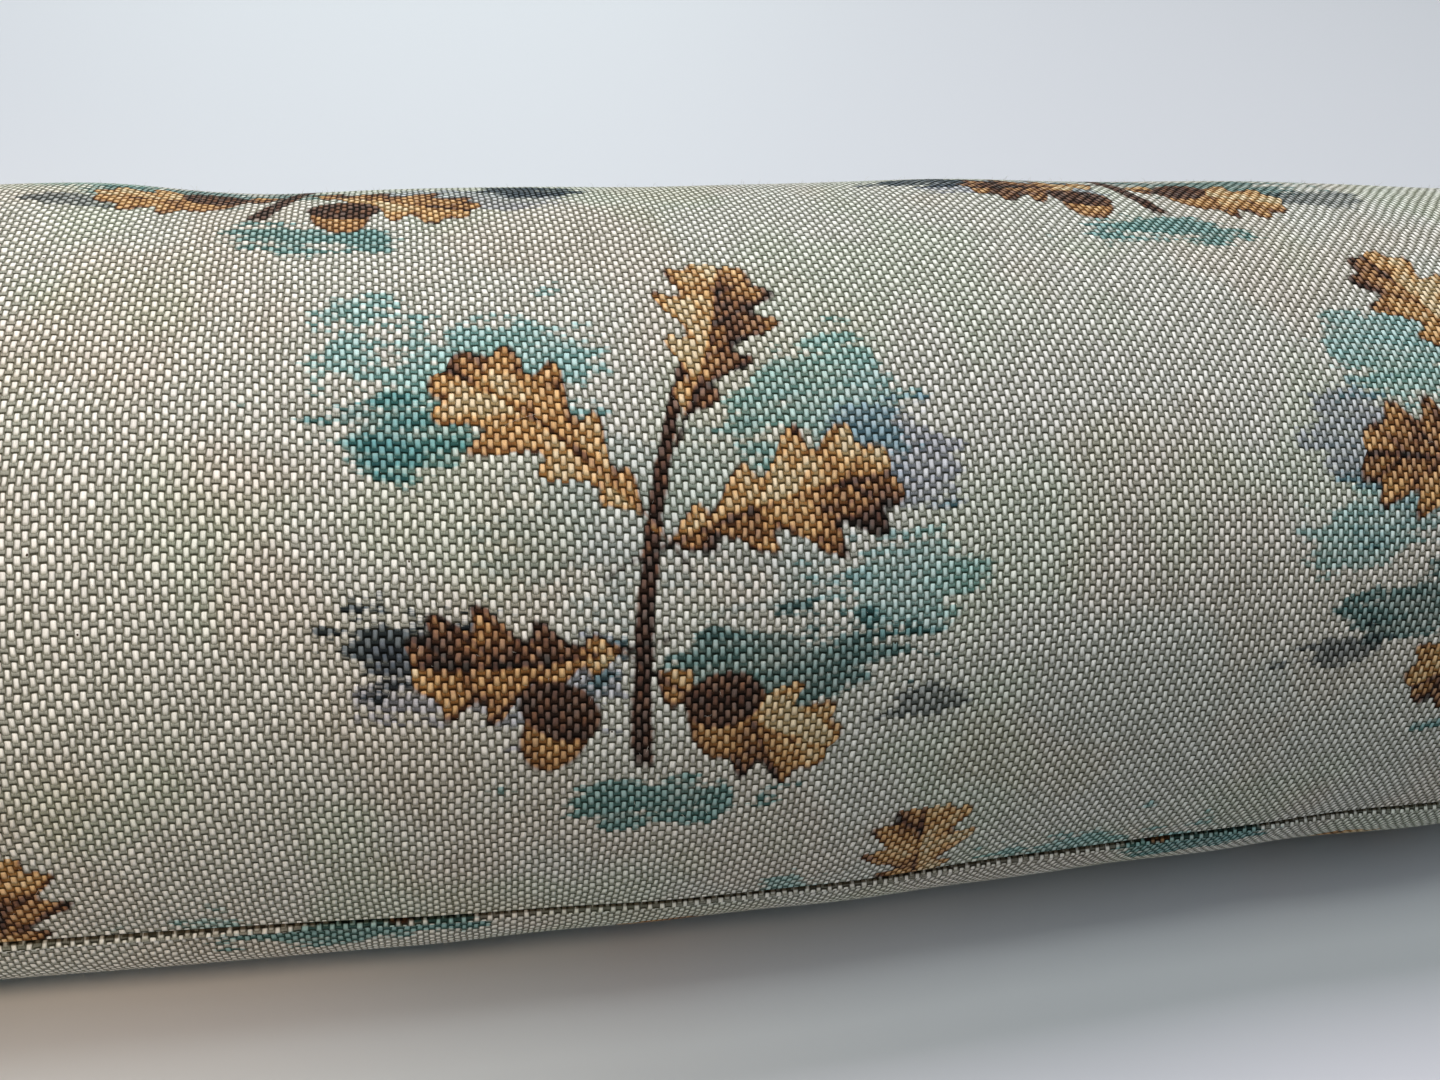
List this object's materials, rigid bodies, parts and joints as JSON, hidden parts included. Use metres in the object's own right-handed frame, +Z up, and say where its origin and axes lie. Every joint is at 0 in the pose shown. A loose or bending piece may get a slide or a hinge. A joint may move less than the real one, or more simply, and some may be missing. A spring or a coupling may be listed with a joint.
{
  "type": "draught excluder",
  "caption": "Long stuffed cloth roll that lies along the foot of a door, woven and printed, with one long seam and both ends sewn flat.",
  "frame": {"origin": "on the surface the roll lies on, under the middle of its box", "axes": "+X along the roll to its right end, +Y to its back, +Z up; the long seam is low on the front"},
  "size_m": [0.8964, 0.1504, 0.0981],
  "materials": {
    "woven_cloth": "matte plain weave of thick cream warp over a thinner grey-olive weft, with a printed pattern in amber, brown, teal and slate"
  },
  "bodies": {
    "root": {"draught_excluder": "woven_cloth"}
  },
  "joints": []
}
